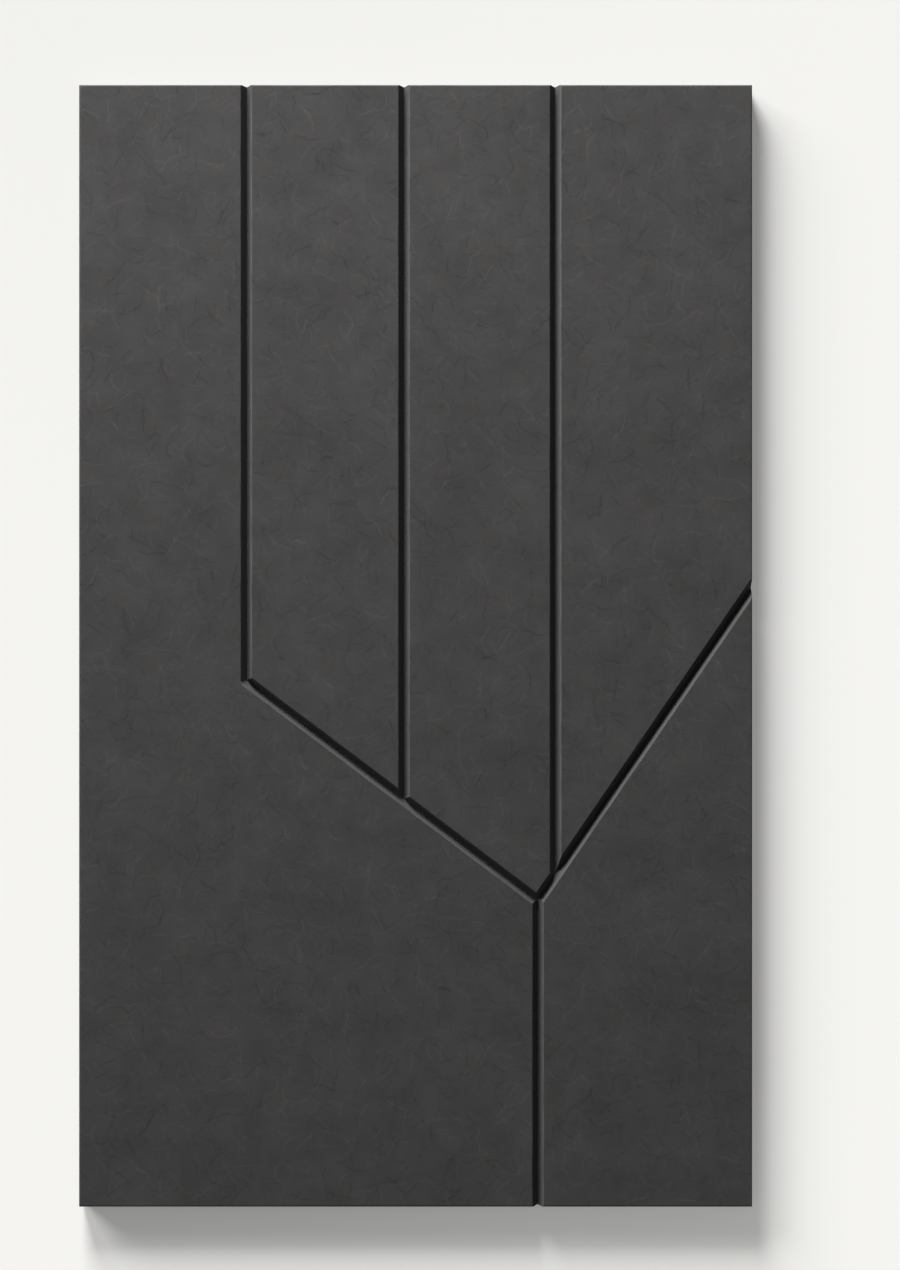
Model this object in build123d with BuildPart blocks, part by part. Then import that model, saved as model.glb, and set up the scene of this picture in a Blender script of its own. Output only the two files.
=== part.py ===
"""Grooved wall panel: one board of through-coloured fibreboard, its face divided by V-grooves.

The board lies flat with its face up. The origin is the middle of its back, +X runs across the
board to its right edge, +Y runs up to its top end and +Z comes out of its face. Millimetres.
"""

import os
from math import radians, tan

from build123d import *

# Board
WIDTH = 600.0
LENGTH = 1000.0
THICKNESS = 18.0
ARRIS_RADIUS = 1.5  # sanded edge round the face and along both shoulders of every groove

# Section of the grooves, which one V-shaped router bit with a blunt point cuts
GROOVE_WIDTH = 9.5
GROOVE_ANGLE = 60.0
POINT_WIDTH = 0.6

# Upright grooves, each measured from the left edge to its centre line
FIRST_GROOVE = 149.0
SECOND_GROOVE = 289.5
THIRD_GROOVE = 424.5
STEM = 409.0

# Ends of the slanted grooves, each measured down from the top end
ELBOW_DROP = 531.0
FORK_DROP = 727.0
RIGHT_EXIT_DROP = 448.0

# The bit starts and stops clear of the board, and stands proud of the face as it cuts
RUN_OUT = 2 * GROOVE_WIDTH
PROUD = 2.0

half_angle_slope = tan(radians(GROOVE_ANGLE / 2))
point_radius = POINT_WIDTH / 2
groove_depth = (GROOVE_WIDTH / 2 - point_radius) / half_angle_slope
bit_height = groove_depth + PROUD
bit_radius = point_radius + bit_height * half_angle_slope


def on_face(from_left, drop):
    """Point of the face, from its distances to the left edge and the top end."""
    return Vector(from_left - WIDTH / 2, LENGTH / 2 - drop, THICKNESS)


def landing(from_left, start, end):
    """Point where an upright groove meets the slanted groove that runs from start to end."""
    across = from_left - WIDTH / 2 - start.X
    return start + (end - start) * (across / (end.X - start.X))


elbow = on_face(FIRST_GROOVE, ELBOW_DROP)
fork = on_face(STEM, FORK_DROP)
right_exit = on_face(WIDTH, RIGHT_EXIT_DROP)
past_right_edge = right_exit + (right_exit - fork).normalized() * RUN_OUT

# Each groove runs between two points of its centre line
grooves = [
    (on_face(FIRST_GROOVE, -RUN_OUT), elbow),
    (on_face(SECOND_GROOVE, -RUN_OUT), landing(SECOND_GROOVE, elbow, fork)),
    (on_face(THIRD_GROOVE, -RUN_OUT), landing(THIRD_GROOVE, fork, right_exit)),
    (elbow, fork),
    (past_right_edge, fork),
    (on_face(STEM, LENGTH + RUN_OUT), fork),
]

with BuildPart() as wall_panel:
    with BuildSketch():
        Rectangle(WIDTH, LENGTH)
    extrude(amount=THICKNESS)

    # The V section stands across the start of each groove, point down, and runs along it
    for start, end in grooves:
        along = (end - start).normalized()
        across_groove = Plane(start, x_dir=Vector(0, 0, 1).cross(along), z_dir=along)
        with BuildSketch(across_groove):
            with BuildLine():
                Polyline(
                    (-bit_radius, PROUD),
                    (-point_radius, -groove_depth),
                    (point_radius, -groove_depth),
                    (bit_radius, PROUD),
                    close=True,
                )
            make_face()
        extrude(amount=(end - start).length, mode=Mode.SUBTRACT)

    # The bit turns on its point at the elbow, which rounds the outer corner there
    with Locations(elbow - Vector(0, 0, groove_depth)):
        Cone(
            point_radius,
            bit_radius,
            bit_height,
            align=(Align.CENTER, Align.CENTER, Align.MIN),
            mode=Mode.SUBTRACT,
        )

    face_fields = wall_panel.faces().filter_by(Axis.Z).group_by(Axis.Z)[-1]
    fillet(face_fields.edges(), ARRIS_RADIUS)

wall_panel.part.label = "wall_panel"

os.makedirs("parts", exist_ok=True)
export_step(wall_panel.part, "parts/wall_panel.step")
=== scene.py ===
# %% [markdown]
# # A grooved wall panel
#
# The object is one board of fibreboard, dyed charcoal right through, with V-grooves routed into its
# face. The board, its grooves and its rounded arrises are already modelled at their real size, so this
# lesson adds no mesh to it. It gives the board its finish, lays it on a pale floor, lights it and sets
# up the camera. Lengths are metres, apart from the lens.

# %% Load the panel
from math import cos, pi, radians, sin

import bmesh
import bpy
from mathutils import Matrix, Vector


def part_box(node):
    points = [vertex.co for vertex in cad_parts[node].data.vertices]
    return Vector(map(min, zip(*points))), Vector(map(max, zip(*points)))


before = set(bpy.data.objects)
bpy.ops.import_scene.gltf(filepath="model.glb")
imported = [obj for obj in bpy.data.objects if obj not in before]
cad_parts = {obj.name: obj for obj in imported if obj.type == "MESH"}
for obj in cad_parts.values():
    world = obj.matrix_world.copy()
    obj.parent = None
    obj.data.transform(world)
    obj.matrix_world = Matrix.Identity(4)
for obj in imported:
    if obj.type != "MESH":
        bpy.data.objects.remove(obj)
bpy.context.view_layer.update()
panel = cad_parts["wall_panel"]
panel_low, panel_high = (Vector(corner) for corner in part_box("wall_panel"))
panel_size = panel_high - panel_low
face_middle = Vector(((panel_low.x + panel_high.x) / 2, (panel_low.y + panel_high.y) / 2, panel_high.z))
print("panel", [round(side, 4) for side in panel_size], "triangles", len(panel.data.polygons))

# %% [markdown]
# ## A bench for shader nodes
#
# A finish is a tree of shader nodes. Adding each node, setting its options and linking it takes three or
# four lines, and this finish has many nodes, so a small helper class does the plugging. Most of its
# methods add a node and hand back the socket to use next, which lets a formula read like a formula.

# %% Node bench
NUMBER_RESULTS = ("DOT_PRODUCT", "LENGTH")  # the vector operations here that give a number


class NodeBench:
    """Adds nodes to one tree and joins them up."""

    def __init__(self, tree):
        self.tree = tree

    def add(self, kind, sockets=None, **options):
        """Adds a node, sets its options and plugs a value or another socket into each named input."""
        node = self.tree.nodes.new(kind)
        for option, value in options.items():
            setattr(node, option, value)
        for socket, value in (sockets or {}).items():
            self.plug(node.inputs[socket], value)
        return node

    def plug(self, socket, value):
        if isinstance(value, bpy.types.NodeSocket):
            self.tree.links.new(value, socket)
        else:
            socket.default_value = value

    def maths(self, operation, *values):
        return self.add("ShaderNodeMath", dict(enumerate(values)), operation=operation).outputs[0]

    def vector(self, operation, *values):
        node = self.add("ShaderNodeVectorMath", dict(enumerate(values)), operation=operation)
        return node.outputs["Value" if operation in NUMBER_RESULTS else "Vector"]

    def point(self, x, y, z=0.0):
        return self.add("ShaderNodeCombineXYZ", {"X": x, "Y": y, "Z": z}).outputs[0]

    def parts(self, vector):
        return self.add("ShaderNodeSeparateXYZ", {"Vector": vector}).outputs

    def total(self, *values):
        result = values[0]
        for value in values[1:]:
            result = self.maths("ADD", result, value)
        return result

    def about_zero(self, value):
        """Spreads a value between 0 and 1 out to between -1 and 1."""
        return self.maths("MULTIPLY_ADD", value, 2.0, -1.0)

    def ease(self, value, start, end):
        """Rises smoothly from 0 at start to 1 at end."""
        node = self.add(
            "ShaderNodeMapRange",
            {"Value": value, "From Min": start, "From Max": end},
            interpolation_type="SMOOTHSTEP",
        )
        return node.outputs["Result"]

    def blend(self, factor, a, b, kind="FLOAT"):
        """Goes from a to b as the factor goes from 0 to 1. The kind is FLOAT or VECTOR."""
        suffix = kind.title()
        node = self.add("ShaderNodeMix", data_type=kind)
        for name, value in (("Factor_Float", factor), (f"A_{suffix}", a), (f"B_{suffix}", b)):
            self.plug(next(i for i in node.inputs if i.identifier == name), value)
        return next(o for o in node.outputs if o.identifier == f"Result_{suffix}")

    def mottle(self, position, size, detail=2.0):
        """Soft noise between -1 and 1, with blotches of about the given size."""
        noise = self.add(
            "ShaderNodeTexNoise",
            {"Vector": position, "Scale": 1 / size, "Detail": detail},
            noise_dimensions="2D",
        )
        return self.about_zero(noise.outputs["Fac"])


print("node bench with", sum(callable(tool) for tool in vars(NodeBench).values()), "methods")

# %% [markdown]
# ## Fibres
#
# The board is pressed from wood fibres, and its sanded face shows them as thousands of fine strokes, a
# little lighter or darker than the rest. They could be painted in an image or laid on as thousands of thin
# meshes, but they lie flush with the face, so a node group draws them. A Voronoi texture deals one fibre
# to each of its cells. The cell's random colour then turns the fibre, bows it and says how light it is.

# %% Fibre group
FULL_TURN = 2 * pi
SHARPEST_BOW = 36.0  # a fibre leaves its chord by this times the square of the distance from its middle
SEED_STEP = (1.37, 2.11, 0.0)  # each layer of fibres is moved on by this, so that no two are alike


def make_fibre_group():
    group = bpy.data.node_groups.new("fibre_strokes", "ShaderNodeTree")
    group.interface.new_socket("Position", in_out="INPUT", socket_type="NodeSocketVector")
    for size in ("Spacing", "Length", "Width", "Seed"):
        group.interface.new_socket(size, in_out="INPUT", socket_type="NodeSocketFloat")
    group.interface.new_socket("Tone", in_out="OUTPUT", socket_type="NodeSocketFloat")

    bench = NodeBench(group)
    given = bench.add("NodeGroupInput").outputs
    shift = bench.add("ShaderNodeVectorMath", {0: SEED_STEP, "Scale": given["Seed"]}, operation="SCALE")
    place = bench.vector("ADD", given["Position"], shift.outputs["Vector"])
    cells = bench.add(
        "ShaderNodeTexVoronoi",
        {"Vector": place, "Scale": bench.maths("DIVIDE", 1.0, given["Spacing"])},
        voronoi_dimensions="2D",
    )
    turn, bow, shade = bench.add("ShaderNodeSeparateColor", {"Color": cells.outputs["Color"]}).outputs

    turned = bench.add(
        "ShaderNodeVectorRotate",
        {
            "Vector": bench.vector("SUBTRACT", place, cells.outputs["Position"]),
            "Angle": bench.maths("MULTIPLY", turn, FULL_TURN),
        },
        rotation_type="Z_AXIS",
    )
    along, off, _ = bench.parts(turned.outputs["Vector"])
    bend = bench.maths("MULTIPLY", bench.about_zero(bow), SHARPEST_BOW)
    curve = bench.maths("MULTIPLY", bend, bench.maths("MULTIPLY", along, along))
    across = bench.maths("ABSOLUTE", bench.maths("SUBTRACT", off, curve))

    half_length = bench.maths("MULTIPLY", given["Length"], 0.5)
    half_width = bench.maths("MULTIPLY", given["Width"], 0.5)
    tip_start = bench.maths("MULTIPLY", half_length, 0.5)
    body = bench.ease(bench.maths("ABSOLUTE", along), half_length, tip_start)
    stroke = bench.ease(across, half_width, 0.0)
    tone = bench.maths("MULTIPLY", bench.maths("MULTIPLY", body, stroke), bench.about_zero(shade))
    bench.add("NodeGroupOutput", {"Tone": tone})
    return group


fibre_group = make_fibre_group()
print("fibre group", len(fibre_group.nodes), "nodes")

# %% [markdown]
# ## Where on the board
#
# Sanded face, routed groove, rounded arris, sawn edge and back all show the same fibreboard after a
# different tool. One mesh holds them all, so the material asks which way the surface looks: straight up
# is the face, straight down is the back, level is an edge and in between is a groove or an arris. It also
# needs a flat position to draw on. That is X and Y on the face and the back. On a cut surface it is the
# distance along the cut and the height, so that nothing is stretched down the steep walls.

# %% Surfaces of the board
material = bpy.data.materials.new("charcoal_fibreboard_finish")
material.use_nodes = True
material.node_tree.nodes.clear()
board = NodeBench(material.node_tree)

position = board.add("ShaderNodeTexCoord").outputs["Object"]
normal = board.add("ShaderNodeNewGeometry").outputs["Normal"]
x, y, z = board.parts(position)
normal_x, normal_y, facing_up = board.parts(normal)

# How far up a surface looks is 1 on the face, 0 on an edge and -1 on the back
WALL_ENDS, FACE_STARTS = 0.85, 0.97
ARRIS_FROM_WALL, ARRIS_FROM_FACE = (0.55, 0.80), (0.999, 0.97)
on_face = board.ease(facing_up, WALL_ENDS, FACE_STARTS)
on_back = board.ease(facing_up, -WALL_ENDS, -FACE_STARTS)
on_cut = board.maths("SUBTRACT", 1.0, board.maths("ADD", on_face, on_back))
on_arris = board.maths(
    "MULTIPLY", board.ease(facing_up, *ARRIS_FROM_WALL), board.ease(facing_up, *ARRIS_FROM_FACE)
)

level_along = board.vector("NORMALIZE", board.point(normal_y, board.maths("MULTIPLY", normal_x, -1.0)))
along_cut = board.vector("DOT_PRODUCT", position, level_along)
flat = board.blend(on_cut, board.point(x, y), board.point(along_cut, z), kind="VECTOR")
print("surface masks for face, back, cut and arris")

# %% [markdown]
# ## Sanded face
#
# Seen closely, the face has broad soft clouds where the dye took unevenly, smaller blotches where the
# fibres lie thicker, the fibres themselves in three sizes, and a fine grain. A photo of a board could hold
# all that, but noise gives it at any size with no seams. Each layer is a tone about zero, so the layers
# can be added up, and the sum is multiplied into the dye's colour further on. A slow warp of the position
# keeps the fibres from being perfect arcs.

# %% Tones of the face
CLOUD_SIZE, CLOUD_TONE = 0.070, 0.16
BLOTCH_SIZE, BLOTCH_TONE = 0.022, 0.14
GRAIN_SIZE, GRAIN_TONE = 0.0011, 0.04
WARP_SIZE, WARP_REACH = 0.012, 0.0060
MIDDLE_OF_NOISE = (0.5, 0.5, 0.5)

# Spacing, length and width of the fibres, how strongly they show, and how many layers there are
FIBRE_SIZES = (
    (0.030, 0.034, 0.0032, 0.17, 2),
    (0.016, 0.018, 0.0028, 0.17, 2),
    (0.009, 0.009, 0.0024, 0.13, 1),
)

sway = board.add(
    "ShaderNodeTexNoise", {"Vector": flat, "Scale": 1 / WARP_SIZE, "Detail": 1.0}, noise_dimensions="2D"
)
sway_about_zero = board.vector("SUBTRACT", sway.outputs["Color"], MIDDLE_OF_NOISE)
swayed = board.vector("MULTIPLY_ADD", sway_about_zero, (WARP_REACH,) * 3, flat)

clouds = board.mottle(flat, CLOUD_SIZE, detail=3.0)
blotches = board.mottle(swayed, BLOTCH_SIZE, detail=3.0)
grain = board.mottle(flat, GRAIN_SIZE)

fibre_layers = []
for spacing, length, width, strength, layers in FIBRE_SIZES:
    for _ in range(layers):
        sizes = {"Spacing": spacing, "Length": length, "Width": width, "Seed": len(fibre_layers) + 1.0}
        strokes = board.add("ShaderNodeGroup", {"Position": swayed, **sizes}, node_tree=fibre_group)
        fibre_layers.append(board.maths("MULTIPLY", strokes.outputs["Tone"], strength))
fibres = board.total(*fibre_layers)

face_tone = board.total(
    board.maths("MULTIPLY", clouds, CLOUD_TONE),
    board.maths("MULTIPLY", blotches, BLOTCH_TONE),
    board.maths("MULTIPLY", grain, GRAIN_TONE),
    fibres,
)
print("face tones with", len(fibre_layers), "layers of fibres")

# %% [markdown]
# ## Routed grooves and sawn edges
#
# A cut shows the inside of the board. The press packs the outer layers tight, so the cut is darkest and
# closest just under the face and the back, and lighter and more open at the core. Bit and saw also leave
# fine lines along their way. The layers depend on the height alone, and the lines are noise that is
# drawn out along the cut. The same nodes serve the groove walls and the four edges.

# %% Tones of the cuts
CORE_TONE, CORE_SHARE = 0.14, 0.35
TOOL_LINE_LENGTH, TOOL_LINE_WIDTH, TOOL_LINE_TONE = 0.060, 0.0006, 0.10
PORE_SIZE, PORE_TONE, PORE_EDGES = 0.0007, 0.30, (0.25, 0.60)
FIBRES_ON_CUTS = 0.5
half_thickness = panel_size.z / 2

from_core = board.maths("ABSOLUTE", board.maths("SUBTRACT", z, half_thickness))
openness = board.ease(from_core, half_thickness, half_thickness * CORE_SHARE)
place_in_tool_lines = board.point(
    board.maths("DIVIDE", along_cut, TOOL_LINE_LENGTH), board.maths("DIVIDE", z, TOOL_LINE_WIDTH)
)
tool_lines = board.mottle(place_in_tool_lines, 1.0)
pores = board.ease(board.mottle(flat, PORE_SIZE, detail=1.0), *PORE_EDGES)
open_pores = board.maths("MULTIPLY", pores, openness)

cut_tone = board.total(
    board.maths("MULTIPLY", openness, CORE_TONE),
    board.maths("MULTIPLY", tool_lines, TOOL_LINE_TONE),
    board.maths("MULTIPLY", open_pores, -PORE_TONE),
    board.maths("MULTIPLY", fibres, FIBRES_ON_CUTS),
)
print("cut tones over a core", round(half_thickness * 1000, 1), "mm down")

# %% [markdown]
# ## Back and arrises
#
# Nobody sees the back on a wall, so it only has the coarse lines of a belt sander, which run the length
# of the board, and a little dust that makes it paler. The arrises were eased by hand with fine paper.
# They are painted lighter than the face, unevenly along their length: a painted highlight in place of
# the lamps' gloss, which is kept off the board. A mask that follows the turn of the surface finds them,
# so no edge has to be picked by hand.

# %% Tones of the back, and the painted highlight on the arrises
BACK_PALENESS = 0.22
SANDING_LINE_LENGTH, SANDING_LINE_WIDTH, SANDING_LINE_TONE = 0.250, 0.0012, 0.14
FIBRES_ON_BACK = 0.4
# Strength of the painted highlight on the arrises, and the size and edges of its uneven patches
ARRIS_HIGHLIGHT, HIGHLIGHT_PATCH_SIZE, HIGHLIGHT_PATCH_EDGES = 0.48, 0.030, (-0.6, 0.4)

place_in_sanding = board.point(
    board.maths("DIVIDE", x, SANDING_LINE_WIDTH), board.maths("DIVIDE", y, SANDING_LINE_LENGTH)
)
sanding = board.mottle(place_in_sanding, 1.0)
back_tone = board.total(
    BACK_PALENESS,
    board.maths("MULTIPLY", sanding, SANDING_LINE_TONE),
    board.maths("MULTIPLY", clouds, CLOUD_TONE),
    board.maths("MULTIPLY", fibres, FIBRES_ON_BACK),
)
# Painted highlight on the arrises, lighter in some patches than in others
highlight_patches = board.ease(board.mottle(position, HIGHLIGHT_PATCH_SIZE), *HIGHLIGHT_PATCH_EDGES)
painted_arris_highlight = board.maths("MULTIPLY", board.maths("MULTIPLY", on_arris, highlight_patches), ARRIS_HIGHLIGHT)
print("back and arris tones")

# %% [markdown]
# ## The finished material
#
# The dye is a near neutral charcoal, a shade warmer in some patches than in others, and the tone of the
# surface in hand is multiplied into it. The board is matt all over: the face is a little smoother than a
# fresh cut, and the gloss is slight. The bump holds only the grain of the face and the lines of the tools,
# hundredths of a millimetre high. The fibres stay out of it, because they lie flush.

# %% Put the finish together
WARM_COLOUR, COOL_COLOUR = (0.0562, 0.0545, 0.0538), (0.0546, 0.0547, 0.0556)
HUE_SIZE, HUE_EDGES = 0.028, (-0.4, 0.4)
FACE_ROUGHNESS, CUT_ROUGHNESS, BACK_ROUGHNESS = 0.82, 0.92, 0.90
ROUGHNESS_SWING = 0.06
GLOSS = 0.06
RELIEF = 0.00002

tone = board.blend(on_cut, face_tone, cut_tone)
tone = board.blend(on_back, tone, back_tone)
# The surface's tone plus the painted highlight on the arrises
shade = board.total(tone, painted_arris_highlight, 1.0)
warmth = board.ease(board.mottle(flat, HUE_SIZE), *HUE_EDGES)
dye = board.blend(warmth, COOL_COLOUR, WARM_COLOUR, kind="VECTOR")
colour = board.vector("MULTIPLY", dye, board.point(shade, shade, shade))

roughness = board.blend(on_cut, FACE_ROUGHNESS, CUT_ROUGHNESS)
roughness = board.blend(on_back, roughness, BACK_ROUGHNESS)
roughness = board.maths("MULTIPLY_ADD", blotches, ROUGHNESS_SWING, roughness)

height = board.blend(on_cut, grain, tool_lines)
height = board.blend(on_back, height, sanding)
bump = board.add("ShaderNodeBump", {"Height": height, "Distance": RELIEF, "Strength": 1.0})
shader = board.add(
    "ShaderNodeBsdfPrincipled",
    {
        "Base Color": colour,
        "Roughness": roughness,
        "Specular IOR Level": GLOSS,
        "Normal": bump.outputs["Normal"],
    },
)
board.add("ShaderNodeOutputMaterial", {"Surface": shader.outputs["BSDF"]})
panel.material_slots[0].material = material
print("finish", material.name, "with", len(material.node_tree.nodes), "nodes on", panel.name)

# %% [markdown]
# ## Light
#
# The grooves only show because the light comes in low. A softbox stands beyond the top end of the board, a
# little to its left: the walls that turn to it are bright and the walls that turn away are dark. It stands
# near, so the face darkens towards the bottom end. A second, weaker one further round to the left draws
# out the soft shadow along the right edge. The power of each lamp is worked out from how bright it should
# make a white sheet lying on the board. The lamps are kept out of the gloss, because a board this matt
# mirrors no lamp, and seen from very low the face would glare white.

# %% Softboxes
KEY_DISTANCE, KEY_LEVEL = 2.75, 0.69
SIDE_DISTANCE, SIDE_LEVEL = 8.0, 0.24


def hang_softbox(name, distance, level, bearing, elevation, width, height):
    """Turns a lamp to the middle of the face, from a bearing left of the board's top end."""
    away = Vector((-sin(bearing) * cos(elevation), cos(bearing) * cos(elevation), sin(elevation)))
    lamp = bpy.data.lights.new(name, "AREA")
    lamp.shape = "RECTANGLE"
    lamp.size = width
    lamp.size_y = height
    lamp.energy = level * pi**2 * distance**2 / sin(elevation)
    softbox = bpy.data.objects.new(name, lamp)
    softbox.location = face_middle + away * distance
    softbox.rotation_euler = away.to_track_quat("Z", "Y").to_euler()
    softbox.visible_camera = False
    softbox.visible_glossy = False
    bpy.context.scene.collection.objects.link(softbox)
    print(name, round(lamp.energy), "W at", [round(v, 2) for v in softbox.location])
    return softbox


key = hang_softbox(
    "key_softbox",
    KEY_DISTANCE,
    KEY_LEVEL,
    bearing=radians(15),
    elevation=radians(16),
    width=1.0,
    height=1.0,
)
side = hang_softbox(
    "side_softbox",
    SIDE_DISTANCE,
    SIDE_LEVEL,
    bearing=radians(46),
    elevation=radians(14),
    width=3.4,
    height=2.4,
)

# %% [markdown]
# ## Floor
#
# The board lies on its back on a pale floor, where it throws a soft shadow. A studio would roll out a
# sweep of paper. Here one flat square is enough, because its far edge has the same colour as the
# surroundings.

# %% Floor sheet
FLOOR_REACH = 20.0


def lay_floor():
    mesh = bpy.data.meshes.new("floor")
    shape = bmesh.new()
    bmesh.ops.create_grid(shape, x_segments=1, y_segments=1, size=FLOOR_REACH)
    shape.to_mesh(mesh)
    shape.free()
    floor = bpy.data.objects.new("floor", mesh)
    floor.location.z = panel_low.z
    bpy.context.scene.collection.objects.link(floor)
    return floor


floor = lay_floor()
print("floor", 2 * FLOOR_REACH, "m across")

# %% [markdown]
# ## Floor paint
#
# Low lamps light a floor unevenly: bright near them, grey further off. So the paint gets paler with the
# distance from the key lamp, which keeps the shadow about as deep all along the board, and a glow adds
# what is still missing from an even pale floor. How much is missing is reckoned from the lamps. The glow
# shows to the camera and in gloss, but throws no light on the board. Far from the board the floor has
# only its glow, right out to the horizon.

# %% Paint the floor
PALE = (0.930, 0.925, 0.905)
FLOOR_ROUGHNESS = 0.9
AMBIENT = 0.13
LIT_PALENESS, MOST_PALENESS = 0.74, 1.0
NEAR_ENDS, FAR_STARTS = 0.9, 1.9
BACKGROUND_RAYS = ("Is Camera Ray", "Is Glossy Ray", "Is Transmission Ray")


def showing_background(bench):
    """Is 1 for a ray that shows the background, and 0 for one that gathers light for the board."""
    rays = bench.add("ShaderNodeLightPath").outputs
    return bench.maths("MINIMUM", bench.total(*(rays[kind] for kind in BACKGROUND_RAYS)), 1.0)


def light_from(bench, softbox, distance, level, offset):
    """Reckons how brightly a softbox lights a place on the floor, which lies at an offset from it.

    The light falls with the square of the offset's length, with the slant at which it leaves the lamp and
    with the slant at which it meets the floor. Each slant divides by that length once more.
    """
    forward = (face_middle - softbox.location).normalized()
    ahead = bench.maths("MAXIMUM", bench.vector("DOT_PRODUCT", offset, forward), 0.0)
    thinning = bench.maths("POWER", bench.vector("LENGTH", offset), 4.0)
    return bench.maths("MULTIPLY", bench.maths("DIVIDE", ahead, thinning), level * distance**3)


def make_floor_paint():
    paint = bpy.data.materials.new("pale_floor")
    paint.use_nodes = True
    paint.node_tree.nodes.clear()
    bench = NodeBench(paint.node_tree)
    place = bench.add("ShaderNodeTexCoord").outputs["Object"]
    from_key = bench.vector("SUBTRACT", place, key.location)
    from_side = bench.vector("SUBTRACT", place, side.location)

    steps_away = bench.maths("DIVIDE", bench.vector("LENGTH", from_key), KEY_DISTANCE)
    evened = bench.maths("MULTIPLY", bench.maths("POWER", steps_away, 2.0), LIT_PALENESS)
    far = bench.ease(bench.vector("LENGTH", place), NEAR_ENDS, FAR_STARTS)
    lit = bench.blend(far, bench.maths("MINIMUM", evened, MOST_PALENESS), 0.0)

    key_light = light_from(bench, key, KEY_DISTANCE, KEY_LEVEL, from_key)
    side_light = light_from(bench, side, SIDE_DISTANCE, SIDE_LEVEL, from_side)
    lit_share = bench.maths("MULTIPLY", lit, bench.total(key_light, side_light, AMBIENT))
    glow = bench.maths("MAXIMUM", bench.maths("SUBTRACT", 1.0, lit_share), 0.0)
    shader = bench.add(
        "ShaderNodeBsdfPrincipled",
        {
            "Base Color": bench.vector("MULTIPLY", PALE, bench.point(lit, lit, lit)),
            "Roughness": FLOOR_ROUGHNESS,
            "Specular IOR Level": 0.0,
            "Emission Color": (*PALE, 1.0),
            "Emission Strength": bench.maths("MULTIPLY", glow, showing_background(bench)),
        },
    )
    bench.add("ShaderNodeOutputMaterial", {"Surface": shader.outputs["BSDF"]})
    return paint


floor.data.materials.append(make_floor_paint())
print("floor paint", floor.data.materials[0].name)

# %% [markdown]
# ## Surroundings
#
# A little even light from all around keeps the shaded groove walls from going black. The camera sees the
# surroundings as pale as the floor, but they light the board with about an eighth of that.

# %% World
world = bpy.data.worlds.new("studio")
world.use_nodes = True
world.node_tree.nodes.clear()
sky = NodeBench(world.node_tree)
strength = sky.blend(showing_background(sky), AMBIENT, 1.0)
background = sky.add("ShaderNodeBackground", {"Color": (*PALE, 1.0), "Strength": strength})
sky.add("ShaderNodeOutputWorld", {"Surface": background.outputs[0]})
bpy.context.scene.world = world
bpy.context.scene.view_settings.view_transform = "Standard"
print("camera sees the surroundings, the board gets ambient light", AMBIENT)

# %% [markdown]
# ## Camera
#
# The camera looks straight down on the face, with the top end of the board at the top of the picture. Its
# place follows from where the board's edges come in the picture: they give the scale, the scale gives the
# height that the picture takes in, and that height and the lens give the distance.

# %% Camera
PICTURE_WIDTH, PICTURE_HEIGHT = 900, 1270
LEFT_EDGE_AT, RIGHT_EDGE_AT, TOP_END_AT = 78.8, 752.3, 84.6  # pixels from the picture's left and top
LENS, SENSOR = 50.0, 36.0  # millimetres

pixel = panel_size.x / (RIGHT_EDGE_AT - LEFT_EDGE_AT)
aim = Vector((
    panel_low.x + (PICTURE_WIDTH / 2 - LEFT_EDGE_AT) * pixel,
    panel_high.y - (PICTURE_HEIGHT / 2 - TOP_END_AT) * pixel,
    panel_high.z,
))
camera_distance = PICTURE_HEIGHT * pixel * LENS / SENSOR

lens = bpy.data.cameras.new("camera")
lens.lens = LENS
lens.sensor_width = SENSOR
camera = bpy.data.objects.new("camera", lens)
camera.location = aim + Vector((0, 0, camera_distance))
bpy.context.scene.collection.objects.link(camera)
bpy.context.scene.camera = camera
print("camera", round(camera_distance, 3), "m above the face")

# %% [markdown]
# ## The board's box
#
# The board's own mesh is what shows, so the box of the finished object is the box that was loaded.
